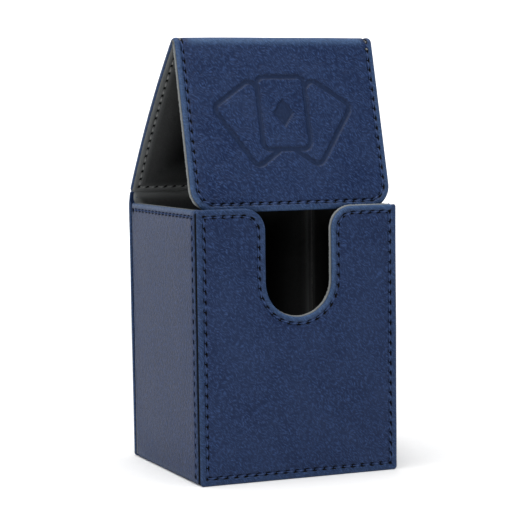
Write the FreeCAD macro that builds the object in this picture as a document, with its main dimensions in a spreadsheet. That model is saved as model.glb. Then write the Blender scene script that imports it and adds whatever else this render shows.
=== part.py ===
"""Card deck box: seven leather-covered board panels, with a lid and a flap on soft leather hinges.

The box stands on its base, with its origin under the middle. +X runs along the front to the right,
+Y to the back and +Z up. Lengths are in millimetres and angles in degrees. The lid stands half open,
leaning up and forwards, and the flap comes down from the ridge to just behind the front panel.
"""
import FreeCAD, Part
import math
import os
import Sketcher
from FreeCAD import Placement, Rotation, Vector

SIZES = [
    ("box_width", 79.5, "outside width of the box"),
    ("box_depth", 73.4, "outside depth of the box"),
    ("box_height", 100, "height of the four walls"),
    ("cover_thickness", 0.9, "leather cover, and its turned edge round the board"),
    ("board_thickness", 1.2, "greyboard that stiffens each panel"),
    ("lining_thickness", 0.6, "suede lining"),
    ("lining_inset", 0.5, "from a panel's edge to its lining"),
    ("notch_width", 26, "width of the thumb notch"),
    ("notch_depth", 40, "from the rim to the bottom of the notch"),
    ("shoulder_radius", 8.5, "round where the notch meets the rim"),
    ("lid_overhang", 0.25, "how far the lid and the flap stand out past each side of the box"),
    ("lid_rise", 49.4, "angle of the lid above the level"),
    ("lid_half_bend", 6.2, "half the angle that the lid bows through along its length"),
    ("hinge_gap", 5, "length of soft leather between the back panel and the lid"),
    ("ridge_gap", 5, "length of soft leather between the lid and the flap"),
    ("flap_lean", 14.6, "angle of the flap from the upright"),
    ("flap_front_gap", 0.4, "between the flap's free edge and the front panel's lining"),
    ("flap_rest_gap", 0.3, "between the flap's round corners and the side panels they rest on"),
    ("flap_corner", 9, "radius of the flap's two free corners"),
    ("flap_soft_edge", 2.3, "soft turned leather outside the flap's board"),
    ("magnet_radius", 4, "disc magnet in the front panel and in the flap"),
    ("magnet_thickness", 1, "disc magnet, sunk in the board"),
    ("magnet_spacing", 50, "between the two magnets of a pair"),
    ("front_magnet_height", 47, "from the front panel's foot to its magnets"),
    ("flap_magnet_margin", 14, "from the flap's free edge to its magnets"),
    ("thread_radius", 0.3, "sewing thread"),
    ("thread_proud", 0.15, "how far a stitch stands out of the leather"),
    ("stitch_pitch", 3.8, "from one needle hole to the next"),
    ("stitch_length", 2.6, "visible length of one stitch"),
    ("stitch_inset", 2.8, "from a panel's edge to its row of stitches"),
]
TOLERANCE = 1e-6

doc = FreeCAD.newDocument("CardDeckBox")
sheet = doc.addObject("Spreadsheet::Sheet", "Sizes")
sheet_rows = []


def fill_row(alias, number, note):
    sheet_rows.append(alias)
    row = len(sheet_rows)
    sheet.set(f"A{row}", note)
    sheet.set(f"B{row}", str(number))
    sheet.setAlias(f"B{row}", alias)


for alias, number, note in SIZES:
    fill_row(alias, number, note)
doc.recompute()


class Size:
    """A size as an expression on the sheet together with its value, so that both are the same sum."""

    def __init__(self, text, value):
        self.text = text
        self.value = value

    def joined(self, sign, other, value):
        other_text = other.text if isinstance(other, Size) else str(other)
        return Size(f"({self.text} {sign} {other_text})", value)

    def __add__(self, other):
        return self.joined("+", other, self.value + number_of(other))

    def __sub__(self, other):
        return self.joined("-", other, self.value - number_of(other))

    def __mul__(self, other):
        return self.joined("*", other, self.value * number_of(other))

    def __truediv__(self, other):
        return self.joined("/", other, self.value / number_of(other))


def number_of(size):
    return size.value if isinstance(size, Size) else size


def size(alias):
    return Size(f"Sizes.{alias}", float(sheet.get(alias)))


def derived(alias, value, note):
    """A size that follows from the others, kept on the sheet as well so that features bind to it."""
    fill_row(alias, value, note)
    doc.recompute()
    return Size(f"Sizes.{alias}", value)


NO_LENGTH = Size("0", 0.0)
box_width = size("box_width")
box_depth = size("box_depth")
box_height = size("box_height")
cover_thickness = size("cover_thickness")
board_thickness = size("board_thickness")
lining_thickness = size("lining_thickness")
lining_inset = size("lining_inset")
wall = lining_thickness + board_thickness + cover_thickness

sub_parts = []


def keep(thing, name):
    """Names a finished sub-part, which is then written to a file of that name."""
    thing.Label = name
    sub_parts.append(thing)
    return thing


def origin_feature(body, role):
    return next(f for f in body.Origin.OriginFeatures if f.Role == role)


# --- Sketches and features that every panel is made from ---------------------------------------


def rectangle(body, name, width, height, top, level):
    """A sketch of a rectangle centred across, with its top edge at top, on a plane at level."""
    sketch = body.newObject("Sketcher::SketchObject", name)
    sketch.AttachmentSupport = [(origin_feature(body, "XY_Plane"), "")]
    sketch.MapMode = "FlatFace"
    if level.value:
        sketch.setExpression(".AttachmentOffset.Base.z", level.text)
    side, high = width.value / 2, top.value
    low = high - height.value
    corners = [Vector(-side, low), Vector(side, low), Vector(side, high), Vector(-side, high)]
    for first, second in zip(corners, corners[1:] + corners[:1]):
        sketch.addGeometry(Part.LineSegment(first, second))
    for line in range(4):
        sketch.addConstraint(Sketcher.Constraint("Coincident", line, 2, (line + 1) % 4, 1))
    sketch.addConstraint(Sketcher.Constraint("Horizontal", 0))
    for line in (1, 3):
        sketch.addConstraint(Sketcher.Constraint("Vertical", line))
    sketch.addConstraint(Sketcher.Constraint("Symmetric", 2, 1, 2, 2, -2))
    bind(sketch, "DistanceX", (0, 1, 0, 2), width, "width")
    bind(sketch, "DistanceY", (1, 1, 1, 2), height, "height")
    bind(sketch, "DistanceY", (-1, 1, 2, 1), top, "top")
    return sketch


def bind(sketch, kind, points, length, name):
    """Adds a dimension to a sketch and ties it to the sheet."""
    index = sketch.addConstraint(Sketcher.Constraint(kind, *points, length.value))
    sketch.renameConstraint(index, name)
    sketch.setExpression(f"Constraints.{name}", length.text)


def pad(body, sketch, thickness):
    feature = body.newObject("PartDesign::Pad", sketch.Name + "_pad")
    feature.Profile = sketch
    feature.setExpression("Length", thickness.text)
    sketch.Visibility = False
    return feature


def cut_notch(body, name, radius, foot, top, level, thickness):
    """Cuts a U-shaped notch down from the top edge: foot is the height of its round's centre."""
    before = body.Shape.Volume
    sketch = body.newObject("Sketcher::SketchObject", name)
    sketch.AttachmentSupport = [(origin_feature(body, "XY_Plane"), "")]
    sketch.MapMode = "FlatFace"
    if level.value:
        sketch.setExpression(".AttachmentOffset.Base.z", level.text)
    r, low, high = radius.value, foot.value, top.value
    sketch.addGeometry(Part.ArcOfCircle(Part.Circle(Vector(0, low), Vector(0, 0, 1), r), math.pi, 0))
    sketch.addGeometry(Part.LineSegment(Vector(r, low), Vector(r, high)))
    sketch.addGeometry(Part.LineSegment(Vector(r, high), Vector(-r, high)))
    sketch.addGeometry(Part.LineSegment(Vector(-r, high), Vector(-r, low)))
    sketch.addConstraint(Sketcher.Constraint("PointOnObject", 0, 3, -2))
    sketch.addConstraint(Sketcher.Constraint("Tangent", 0, 2, 1, 1))
    sketch.addConstraint(Sketcher.Constraint("Coincident", 1, 2, 2, 1))
    sketch.addConstraint(Sketcher.Constraint("Coincident", 2, 2, 3, 1))
    sketch.addConstraint(Sketcher.Constraint("Tangent", 3, 2, 0, 1))
    for line in (1, 3):
        sketch.addConstraint(Sketcher.Constraint("Vertical", line))
    sketch.addConstraint(Sketcher.Constraint("Horizontal", 2))
    bind(sketch, "DistanceX", (2, 2, 2, 1), radius * 2, "width")
    bind(sketch, "DistanceY", (-1, 1, 0, 3), foot, "foot")
    bind(sketch, "DistanceY", (-1, 1, 2, 1), top, "top")
    pocket = body.newObject("PartDesign::Pocket", name + "_pocket")
    pocket.Profile = sketch
    pocket.Reversed = True
    pocket.setExpression("Length", thickness.text)
    sketch.Visibility = False
    doc.recompute()
    if body.Shape.Volume > before - TOLERANCE:
        raise RuntimeError(f"{name} cut nothing")


def round_corners(body, name, corners, radius):
    """Rounds the edges that run through a panel's thickness at these (across, along) corners."""
    doc.recompute()
    edges = []
    square = body.Tip
    for number, edge in enumerate(square.Shape.Edges, start=1):
        ends = [vertex.Point for vertex in edge.Vertexes]
        for across, along in corners:
            if all(math.hypot(p.x - across, p.y - along) < TOLERANCE for p in ends):
                edges.append(f"Edge{number}")
    if len(edges) != len(corners):
        raise RuntimeError(f"{name} found {len(edges)} of its {len(corners)} edges")
    fillet = body.newObject("PartDesign::Fillet", name)
    fillet.Base = (square, edges)
    fillet.setExpression("Radius", radius.text)
    doc.recompute()


def facing(across, along):
    """The turn that lays a panel with its width, its length and its outer face as wanted."""
    return Rotation(across, along, across.cross(along), "XYZ")


# --- A flat panel: cover, board and lining, stacked from the outer face inwards ----------------


class Panel:
    """A flat panel, in its own frame: x across, y along, z from the lining out to the leather."""

    def __init__(self, name, width, length, place, edge=cover_thickness, notched=False, corner=None):
        self.name = name
        self.width = width
        self.length = length
        self.place = place
        self.notched = notched
        self.corner = corner
        cover_level = lining_thickness
        cover_depth = board_thickness + cover_thickness
        self.blank = self.layer("blank", NO_LENGTH, cover_level, cover_depth)
        self.slab = self.layer("slab", edge, cover_level, board_thickness)
        lining = self.layer("lining", lining_inset, NO_LENGTH, lining_thickness)
        keep(lining, name + "_lining")
        cover = doc.addObject("Part::Cut", name + "_leather")
        cover.Base = self.blank
        cover.Tool = self.slab
        keep(cover, name + "_cover")

    def layer(self, kind, inset, level, thickness):
        """One layer of the panel, smaller than its outline by inset all round."""
        body = doc.addObject("PartDesign::Body", f"{self.name}_{kind}_body")
        title = f"{self.name}_{kind}_outline"
        top = self.length - inset
        outline = rectangle(
            body, title, self.width - inset * 2, self.length - inset * 2, top, level
        )
        pad(body, outline, thickness)
        doc.recompute()
        if self.notched:
            radius = notch_width / 2 + inset
            foot = self.length - notch_depth + notch_width / 2
            cut_notch(body, title + "_notch", radius, foot, top, level, thickness)
            corners = [(side * radius.value, top.value) for side in (-1, 1)]
            round_corners(body, title + "_shoulders", corners, shoulder_radius - inset)
        if self.corner:
            half = self.width.value / 2 - inset.value
            corners = [(side * half, top.value) for side in (-1, 1)]
            round_corners(body, title + "_corners", corners, self.corner - inset)
        body.Placement = self.place
        return body

    def board(self):
        """The board with nothing set in it."""
        return keep(self.slab, self.name + "_board")

    def board_with_magnets(self, along):
        """The board with a pair of disc magnets sunk in its outer side, and the magnets."""
        discs = []
        for side in (-1, 1):
            disc = doc.addObject("Part::Cylinder", self.name + "_disc")
            disc.setExpression("Radius", size("magnet_radius").text)
            disc.setExpression("Height", size("magnet_thickness").text)
            sunk = lining_thickness + board_thickness - size("magnet_thickness")
            centre = Vector(side * size("magnet_spacing").value / 2, along.value, sunk.value)
            disc.Placement = self.place * Placement(centre, Rotation())
            discs.append(disc)
        magnets = doc.addObject("Part::Compound", self.name + "_magnet_pair")
        magnets.Links = discs
        board = doc.addObject("Part::Cut", self.name + "_pocketed_board")
        board.Base = self.slab
        board.Tool = magnets
        keep(magnets, self.name + "_magnets")
        keep(board, self.name + "_board")

    def stitching(self, wanted):
        """A row of stitches inside each edge of the outline that wanted(its middle) picks."""
        doc.recompute()
        shape = self.blank.Tip.Shape
        face = max(shape.Faces, key=lambda f: f.CenterOfMass.z)
        rows = []
        for edge in face.OuterWire.makeOffset2D(-size("stitch_inset").value).Edges:
            middle = edge.valueAt((edge.FirstParameter + edge.LastParameter) / 2)
            if wanted(middle):
                count = max(1, round(edge.Length / size("stitch_pitch").value))
                rows.append(edge.discretize(Number=count + 1))
        rise = Vector(0, 0, size("thread_proud").value - size("thread_radius").value)
        stitches = [s for row in rows for s in stitch_row([p + rise for p in row])]
        sew(self.name, stitches, self.place)


def stitch_row(holes):
    """One short round stitch between each pair of neighbouring needle holes."""
    stitches = []
    for first, second in zip(holes, holes[1:]):
        run = second - first
        length = min(size("stitch_length").value, run.Length)
        start = (first + second) / 2 - run.normalize() * (length / 2)
        stitches.append(Part.makeCylinder(size("thread_radius").value, length, start, run))
    return stitches


def sew(name, stitches, place):
    thread = doc.addObject("Part::Feature", name + "_thread")
    thread.Shape = Part.makeCompound(stitches)
    thread.Placement = place
    keep(thread, name + "_stitching")


# --- The box: front, two sides, back and base ---------------------------------------------------

X, Y, Z = Vector(1, 0, 0), Vector(0, 1, 0), Vector(0, 0, 1)
notch_width = size("notch_width")
notch_depth = size("notch_depth")
shoulder_radius = size("shoulder_radius")
inner_width = box_width - wall * 2
inner_depth = box_depth - wall * 2
front_inside = -inner_depth.value / 2
back_inside = inner_depth.value / 2
side_inside = inner_width.value / 2


def near(value, limit):
    """Is a row's middle within a stitch's inset and pitch of this limit?"""
    return abs(value - limit) < size("stitch_inset").value + size("stitch_pitch").value / 2


front = Panel(
    "front", box_width, box_height, Placement(Vector(0, front_inside, 0), facing(X, Z)), notched=True
)
front.board_with_magnets(size("front_magnet_height"))
front.stitching(lambda middle: True)

back = Panel("back", box_width, box_height, Placement(Vector(0, back_inside, 0), facing(-X, Z)))
back.board()
back.stitching(lambda middle: not near(middle.y, box_height.value))

left_side = Panel(
    "left_side", inner_depth, box_height, Placement(Vector(-side_inside, 0, 0), facing(-Y, Z))
)
left_side.board()
left_side.stitching(
    lambda middle: near(middle.y, box_height.value) or near(middle.x, inner_depth.value / 2)
)

right_side = Panel(
    "right_side", inner_depth, box_height, Placement(Vector(side_inside, 0, 0), facing(Y, Z))
)
right_side.board()
right_side.stitching(
    lambda middle: near(middle.y, box_height.value) or near(middle.x, -inner_depth.value / 2)
)

base_place = Placement(Vector(0, front_inside, wall.value), facing(-X, Y))
base = Panel("base", inner_width, inner_depth, base_place)
base.board()


# --- The lid, the flap and their soft hinges ----------------------------------------------------
# The leather's mid-line runs up out of the back panel, round the rear hinge, along the bowed lid,
# round the ridge and down the flap. A heading is an angle in the YZ plane, from +Y towards +Z.
# The flap ends where its round corners rest on the side panels and its edge is just behind the
# front panel, and that settles the lengths of the lid and the flap.

UPRIGHT = 90
lid_width = box_width + size("lid_overhang") * 2
lid_rise = size("lid_rise").value
lid_half_bend = size("lid_half_bend").value
flap_lean = size("flap_lean").value
flap_corner = size("flap_corner")
lid_start_heading = 180 - lid_rise - lid_half_bend
lid_end_heading = 180 - lid_rise + lid_half_bend
flap_heading = 270 - flap_lean


def towards(heading):
    return Vector(0, math.cos(math.radians(heading)), math.sin(math.radians(heading)))


def bend(start, heading, turn, radius):
    """A round bend of the mid-line: its centre and where it ends."""
    centre = start + towards(heading + 90) * radius
    return centre, centre + towards(heading + turn - 90) * radius


def bend_radius(length, turn):
    return length.value / math.radians(turn)


def flap_end():
    """Where the leather's mid-line ends, at the flap's free edge."""
    corner_centre = lid_width.value / 2 - flap_corner.value
    reach = side_inside - corner_centre
    corner_rise = flap_corner.value - math.sqrt(flap_corner.value**2 - reach**2)
    outwards = towards(flap_heading - 90)
    rest = box_height.value + size("flap_rest_gap").value
    edge_height = rest - corner_rise * math.cos(math.radians(flap_lean))
    leather_depth = (wall - cover_thickness / 2).value
    half_leather = cover_thickness.value / 2
    y = front_inside + size("flap_front_gap").value - half_leather * outwards.y
    return Vector(0, y, edge_height + leather_depth * outwards.z)


hinge_turn = lid_start_heading - UPRIGHT
ridge_turn = flap_heading - lid_end_heading
hinge_radius = derived(
    "hinge_radius", bend_radius(size("hinge_gap"), hinge_turn), "leather mid-line at the rear hinge"
)
ridge_radius = derived(
    "ridge_radius", bend_radius(size("ridge_gap"), ridge_turn), "leather mid-line at the ridge"
)
hinge_start = Vector(0, (box_depth - cover_thickness).value / 2, box_height.value)
hinge_centre, lid_start = bend(hinge_start, UPRIGHT, hinge_turn, hinge_radius.value)
ridge_step = bend(Vector(), lid_end_heading, ridge_turn, ridge_radius.value)[1]

# lid_start + chord * lid_way + ridge_step + length * flap_way = flap_end
lid_way = towards(180 - lid_rise)
flap_way = towards(flap_heading)
span = flap_end() - lid_start - ridge_step
across = lid_way.y * flap_way.z - lid_way.z * flap_way.y
lid_chord = (span.y * flap_way.z - span.z * flap_way.y) / across
flap_length = derived(
    "flap_length", (lid_way.y * span.z - lid_way.z * span.y) / across,
    "from the ridge's soft leather to the flap's free edge",
)
bow_radius = derived(
    "bow_radius", lid_chord / 2 / math.sin(math.radians(lid_half_bend)),
    "leather mid-line along the bowed lid",
)
lid_sweep = 2 * lid_half_bend
lid_centre, lid_end = bend(lid_start, lid_start_heading, lid_sweep, bow_radius.value)
ridge_centre, flap_start = bend(lid_end, lid_end_heading, ridge_turn, ridge_radius.value)


def curved_sheet(name, width, inner, outer, middle_heading, angle, centre):
    """A sheet bent round an axis along X: inner and outer are its radii, angle its sweep."""
    body = doc.addObject("PartDesign::Body", name + "_body")
    outline = rectangle(body, name + "_section", width, outer - inner, outer, NO_LENGTH)
    feature = body.newObject("PartDesign::Revolution", name + "_bend")
    feature.Profile = outline
    feature.ReferenceAxis = (origin_feature(body, "X_Axis"), [""])
    feature.Midplane = True
    feature.Angle = angle
    outline.Visibility = False
    body.Placement = Placement(centre, facing(X, towards(middle_heading - 90)))
    return body


def bowed_lid():
    """The lid's cover, board and lining, bent to one centre, and a stitch row down each side."""
    leather_outside = bow_radius + cover_thickness / 2
    board_outside = bow_radius - cover_thickness / 2
    board_inside = board_outside - board_thickness
    lining_inside = board_inside - lining_thickness
    heading = 180 - lid_rise

    def layer(name, inner, outer, inset):
        trim = 2 * math.degrees(inset.value / bow_radius.value)
        width = lid_width - inset * 2
        return curved_sheet(name, width, inner, outer, heading, lid_sweep - trim, lid_centre)

    blank = layer("lid_blank", board_inside, leather_outside, NO_LENGTH)
    slab = layer("lid_slab", board_inside, board_outside, cover_thickness)
    cover = doc.addObject("Part::Cut", "lid_leather")
    cover.Base = blank
    cover.Tool = slab
    keep(cover, "lid_cover")
    keep(slab, "lid_board")
    keep(layer("lid_lining_sheet", lining_inside, board_inside, lining_inset), "lid_lining")

    reach = leather_outside.value + size("thread_proud").value - size("thread_radius").value
    count = round(math.radians(lid_sweep) * reach / size("stitch_pitch").value)
    stitches = []
    for side in (-1, 1):
        across = X * (side * (lid_width.value / 2 - size("stitch_inset").value))
        headings = [lid_start_heading - 90 + lid_sweep * step / count for step in range(count + 1)]
        stitches += stitch_row([across + towards(h) * reach for h in headings])
    sew("lid", stitches, Placement(lid_centre, Rotation()))


def soft_hinge(name, centre, radius, middle_heading, turn):
    """A bend of leather with its lining laid straight against it, with no board between."""
    outside = radius + cover_thickness / 2
    between = radius - cover_thickness / 2
    inside = between - lining_thickness
    for kind, inner, outer, width in (
        ("leather", between, outside, lid_width),
        ("lining", inside, between, lid_width - lining_inset * 2),
    ):
        strip = f"{name}_{kind}"
        keep(curved_sheet(strip, width, inner, outer, middle_heading, turn, centre), strip)


bowed_lid()
soft_hinge("rear_hinge", hinge_centre, hinge_radius, UPRIGHT + hinge_turn / 2, hinge_turn)
soft_hinge("ridge", ridge_centre, ridge_radius, lid_end_heading + ridge_turn / 2, ridge_turn)

flap_turn = facing(-X, flap_way)
leather_mid_level = wall - cover_thickness / 2
flap_origin = flap_start - flap_turn.multVec(Z) * leather_mid_level.value
flap = Panel(
    "flap", lid_width, flap_length, Placement(flap_origin, flap_turn),
    edge=size("flap_soft_edge"), corner=flap_corner,
)
flap.board_with_magnets(flap_length - size("flap_magnet_margin"))
flap.stitching(lambda middle: not near(middle.y, 0))


# --- Check and write ------------------------------------------------------------------------------

doc.recompute()
for thing in doc.Objects:
    if "Invalid" in thing.State or "Error" in thing.State:
        raise RuntimeError(f"{thing.Label} failed: {thing.State}")
for sub_part in sub_parts:
    shape = sub_part.Shape
    if shape.isNull() or not shape.isValid() or not shape.Solids:
        raise RuntimeError(f"{sub_part.Label} has no valid solid")

for label, centre, radius, heading in (
    ("rear hinge", hinge_centre, hinge_radius, UPRIGHT + hinge_turn / 2),
    ("ridge", ridge_centre, ridge_radius, lid_end_heading + ridge_turn / 2),
):
    axis = centre + towards(heading - 90) * radius.value
    print(f"{label} axis at y {axis.y:.4f}, z {axis.z:.4f}")
print(f"ridge turn {ridge_turn:.3f}")

os.makedirs("parts", exist_ok=True)
for sub_part in sub_parts:
    sub_part.Shape.exportStep(f"parts/{sub_part.Label}.step")
print(f"{len(sub_parts)} sub-parts written")
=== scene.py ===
"""Looks for the card deck box: navy leather over board panels, suede lining, sewn edges.

Work is in millimetres in flat panels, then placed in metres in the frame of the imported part:
+X right along the front, +Y to the back, +Z up. A panel's own frame has x across, y along and
its level out from the lining's inner face to the leather's outer face.
"""

import math

import bpy
import numpy as np
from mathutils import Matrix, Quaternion, Vector
from mathutils.geometry import delaunay_2d_cdt


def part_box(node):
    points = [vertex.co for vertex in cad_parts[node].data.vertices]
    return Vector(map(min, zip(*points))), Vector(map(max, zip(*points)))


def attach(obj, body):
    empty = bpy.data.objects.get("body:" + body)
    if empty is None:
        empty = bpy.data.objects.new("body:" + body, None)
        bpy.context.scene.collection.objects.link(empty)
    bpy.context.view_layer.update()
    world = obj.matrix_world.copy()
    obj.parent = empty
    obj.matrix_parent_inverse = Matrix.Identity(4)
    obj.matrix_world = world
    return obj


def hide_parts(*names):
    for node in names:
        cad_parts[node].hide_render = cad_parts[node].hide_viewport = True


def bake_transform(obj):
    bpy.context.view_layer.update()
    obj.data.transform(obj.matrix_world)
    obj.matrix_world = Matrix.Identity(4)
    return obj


MM = 0.001

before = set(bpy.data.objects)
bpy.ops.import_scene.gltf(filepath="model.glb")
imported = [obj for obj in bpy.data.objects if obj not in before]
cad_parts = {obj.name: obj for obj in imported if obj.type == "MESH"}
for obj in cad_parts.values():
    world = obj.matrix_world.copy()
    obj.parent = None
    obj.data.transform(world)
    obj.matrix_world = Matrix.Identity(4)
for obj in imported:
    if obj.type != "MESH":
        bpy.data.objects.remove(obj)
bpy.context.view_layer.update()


# --- Sizes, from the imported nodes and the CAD's own formulas --------------------------------------


def extent(node, axis):
    low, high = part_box(node)
    return (high[axis] - low[axis]) / MM


def reach(node, axis):
    """The lowest and the highest coordinate of a node along one axis, in millimetres."""
    low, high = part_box(node)
    return low[axis] / MM, high[axis] / MM


BOX_WIDTH = extent("front_cover", 0)
BOX_HEIGHT = extent("front_cover", 2)
FRONT_FACE = reach("front_cover", 1)[0]
BACK_FACE = reach("back_cover", 1)[1]
BOX_DEPTH = BACK_FACE - FRONT_FACE
LINING = extent("front_lining", 1)
BOARD = extent("front_board", 1)
COVER = extent("front_cover", 1) - BOARD
WALL = LINING + BOARD + COVER
BOARD_TOP = LINING + BOARD
LEATHER_MIDDLE = WALL - COVER / 2
INNER_WIDTH = BOX_WIDTH - 2 * WALL
INNER_DEPTH = BOX_DEPTH - 2 * WALL
LID_WIDTH = extent("lid_cover", 0)
SIDE_INSIDE = INNER_WIDTH / 2
FRONT_INSIDE = -INNER_DEPTH / 2

NOTCH_WIDTH = 26
NOTCH_DEPTH = 40
SHOULDER_RADIUS = 8.5
OUTER_CORNER = 1.3
LID_RISE = 49.4
LID_HALF_BEND = 6.2
HINGE_GAP = 5
RIDGE_GAP = 5
FLAP_LEAN = 14.6
FLAP_FRONT_GAP = 0.4
FLAP_REST_GAP = 0.3
FLAP_CORNER = 9
STITCH_PITCH = 3.8
STITCH_INSET = 2.8
STEP = 0.3  # between neighbouring points along an edge
BASE_STEP = 1.2
SPACING = 2.6  # between neighbouring points on a face
SMALLEST_ROUND = 0.35  # of a corner, however far in its ring is

# Headings are angles in the YZ plane, from +Y towards +Z, along the leather's mid-line.
UPRIGHT = 90
LID_START_HEADING = 180 - LID_RISE - LID_HALF_BEND
LID_END_HEADING = 180 - LID_RISE + LID_HALF_BEND
FLAP_HEADING = 270 - FLAP_LEAN
HINGE_TURN = LID_START_HEADING - UPRIGHT
RIDGE_TURN = FLAP_HEADING - LID_END_HEADING


def towards(heading):
    angle = np.radians(heading)
    return np.stack([np.cos(angle), np.sin(angle)], axis=-1)


def bend_end(start, heading, turn, length):
    """Where a bend of this length ends."""
    radius = length / math.radians(turn)
    centre = start + towards(heading + 90) * radius
    return centre + towards(heading + turn - 90) * radius


def flap_end():
    """Where the leather's mid-line ends, at the flap's free edge."""
    reach_in = SIDE_INSIDE - (LID_WIDTH / 2 - FLAP_CORNER)
    corner_rise = FLAP_CORNER - math.sqrt(FLAP_CORNER**2 - reach_in**2)
    outwards = towards(FLAP_HEADING - 90)
    edge_height = BOX_HEIGHT + FLAP_REST_GAP - corner_rise * math.cos(math.radians(FLAP_LEAN))
    y = FRONT_INSIDE + FLAP_FRONT_GAP - COVER / 2 * outwards[0]
    return np.array([y, edge_height + LEATHER_MIDDLE * outwards[1]])


hinge_start = np.array([BACK_FACE - COVER / 2, BOX_HEIGHT])
lid_start = bend_end(hinge_start, UPRIGHT, HINGE_TURN, HINGE_GAP)
ridge_step = bend_end(np.zeros(2), LID_END_HEADING, RIDGE_TURN, RIDGE_GAP)
lid_way, flap_way = towards(180 - LID_RISE), towards(FLAP_HEADING)
span = flap_end() - lid_start - ridge_step
across = lid_way[0] * flap_way[1] - lid_way[1] * flap_way[0]
lid_chord = (span[0] * flap_way[1] - span[1] * flap_way[0]) / across
FLAP_LENGTH = (lid_way[0] * span[1] - lid_way[1] * span[0]) / across
lid_sweep = math.radians(2 * LID_HALF_BEND)
LID_LENGTH = lid_chord / 2 / math.sin(lid_sweep / 2) * lid_sweep
lid_end = bend_end(lid_start, LID_START_HEADING, 2 * LID_HALF_BEND, LID_LENGTH)
flap_start = bend_end(lid_end, LID_END_HEADING, RIDGE_TURN, RIDGE_GAP)


def smooth(low, high, value):
    """0 below low and 1 above high, with an easy slope between."""
    t = np.clip((value - low) / (high - low), 0, 1)
    return t * t * (3 - 2 * t)


# --- How a flat panel's points get to their place -------------------------------------------------

FRONT_FLARE = 0.006  # the open top is this much wider than the foot, at the front
BACK_FLARE = 0.016
FLARE_FADE = 3  # how far from the rim the back's flare starts and stops fading
HIDE_CLEARANCE = 0.02  # between the leather and the suede where they close up at a bend
X, Y, Z = np.eye(3)


def flared(points):
    """The box's walls open a little towards the rim, more so at the back."""
    backness = (points[:, 1] - FRONT_FACE) / BOX_DEPTH
    flare = FRONT_FLARE + (BACK_FLARE - FRONT_FLARE) * backness
    points[:, 0] *= 1 + flare * (points[:, 2] / BOX_HEIGHT - 0.5)
    return points


class FlatPlace:
    """A flat panel's place: its origin, and the ways that its x, y and level run."""

    def __init__(self, origin, across_way, along_way):
        self.origin = np.array(origin, float)
        self.across_way = across_way
        self.along_way = along_way
        self.outwards = np.cross(across_way, along_way)

    def points(self, flat, level):
        where = self.origin + np.outer(flat[:, 0], self.across_way)
        where = where + np.outer(flat[:, 1], self.along_way) + np.outer(level, self.outwards)
        return flared(where)


class StripPlace:
    """A long strip that follows the leather's mid-line, through runs of (length, turn)."""

    def __init__(self, start, heading, runs, bend, narrowing=None, flare=False):
        self.start = np.array(start, float)
        self.heading = heading
        self.runs = runs
        self.bend = bend
        self.narrowing = narrowing
        self.flare = flare
        self.length = sum(length for length, _ in runs)

    def middle(self, along):
        """The mid-line's point and heading at each distance along it."""
        point = np.zeros((len(along), 2))
        heading = np.zeros(len(along))
        start, at, facing = 0.0, self.start, self.heading
        for number, (length, turn) in enumerate(self.runs):
            last = number == len(self.runs) - 1
            here = (along >= start) if number else np.full(len(along), True)
            if not last:
                here &= along < start + length
            ahead = along[here] - start
            if turn:
                radius = length / math.radians(turn)
                headings = facing + turn * ahead / length
                centre = at + towards(facing + 90) * radius
                point[here] = centre + towards(headings - 90) * radius
                at = bend_end(at, facing, turn, length)
            else:
                headings = np.full(len(ahead), float(facing))
                point[here] = at + np.outer(ahead, towards(facing))
                at = at + towards(facing) * length
            heading[here] = headings
            facing += turn
            start += length
        return point, heading

    def softness(self, along):
        """1 where there is no board between the leather and the lining, else 0."""
        low, high = self.bend
        closing = smooth(low - 0.8, low + 0.9, along)
        opening = smooth(high - 0.9, high + 0.8, along)
        return closing * (1 - opening)

    def points(self, flat, level):
        middle, heading = self.middle(flat[:, 1])
        placed = middle + towards(heading - 90) * (level - LEATHER_MIDDLE)[:, None]
        sideways = -flat[:, 0]
        if self.narrowing:
            low, high, share = self.narrowing
            sideways = sideways * (1 - share * smooth(low, high, flat[:, 1]))
        points = np.column_stack([sideways, placed])
        if self.flare:
            # the flare fades out above the rim, where the soft hinge starts
            height = np.clip(flat[:, 1] / BOX_HEIGHT, 0, 1)
            fade = 1 - smooth(BOX_HEIGHT - FLARE_FADE, BOX_HEIGHT + FLARE_FADE, flat[:, 1])
            points[:, 0] *= 1 + BACK_FLARE * (height - 0.5) * fade
        return points


class LeatherSide:
    """Seen from outside: the leather's levels, with the hide closing down where it is soft."""

    def __init__(self, place):
        self.place = place

    def __call__(self, flat, level):
        if isinstance(self.place, StripPlace):
            soft = self.place.softness(flat[:, 1])
            level = level + soft * np.maximum(0, BOARD_TOP - level)
        return self.place.points(flat, level)


class LiningSide:
    """Seen from inside: x is mirrored and levels count inwards, from the lining's inner face."""

    def __init__(self, place):
        self.place = place

    def __call__(self, flat, level):
        flat = flat * np.array([-1, 1])
        level = -level
        if isinstance(self.place, StripPlace):
            lift = BOARD * self.place.softness(flat[:, 1])
            level = np.minimum(level + lift, np.maximum(level, BOARD_TOP - HIDE_CLEARANCE))
        return self.place.points(flat, level)


back_strip = StripPlace(
    [hinge_start[0], 0], UPRIGHT, [(BOX_HEIGHT, 0), (HINGE_GAP, HINGE_TURN)],
    bend=(BOX_HEIGHT, BOX_HEIGHT + HINGE_GAP + 9),
    narrowing=(BOX_HEIGHT - 2, BOX_HEIGHT + 3, 1 - LID_WIDTH / BOX_WIDTH), flare=True,
)
lid_strip = StripPlace(
    lid_start, LID_START_HEADING,
    [(LID_LENGTH, 2 * LID_HALF_BEND), (RIDGE_GAP, RIDGE_TURN), (FLAP_LENGTH, 0)],
    bend=(LID_LENGTH, LID_LENGTH + RIDGE_GAP),
)
front_place = FlatPlace([0, FRONT_INSIDE, 0], X, Z)
left_place = FlatPlace([-SIDE_INSIDE, 0, 0], -Y, Z)
right_place = FlatPlace([SIDE_INSIDE, 0, 0], Y, Z)
base_place = FlatPlace([0, FRONT_INSIDE, WALL], -X, Y)


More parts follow.
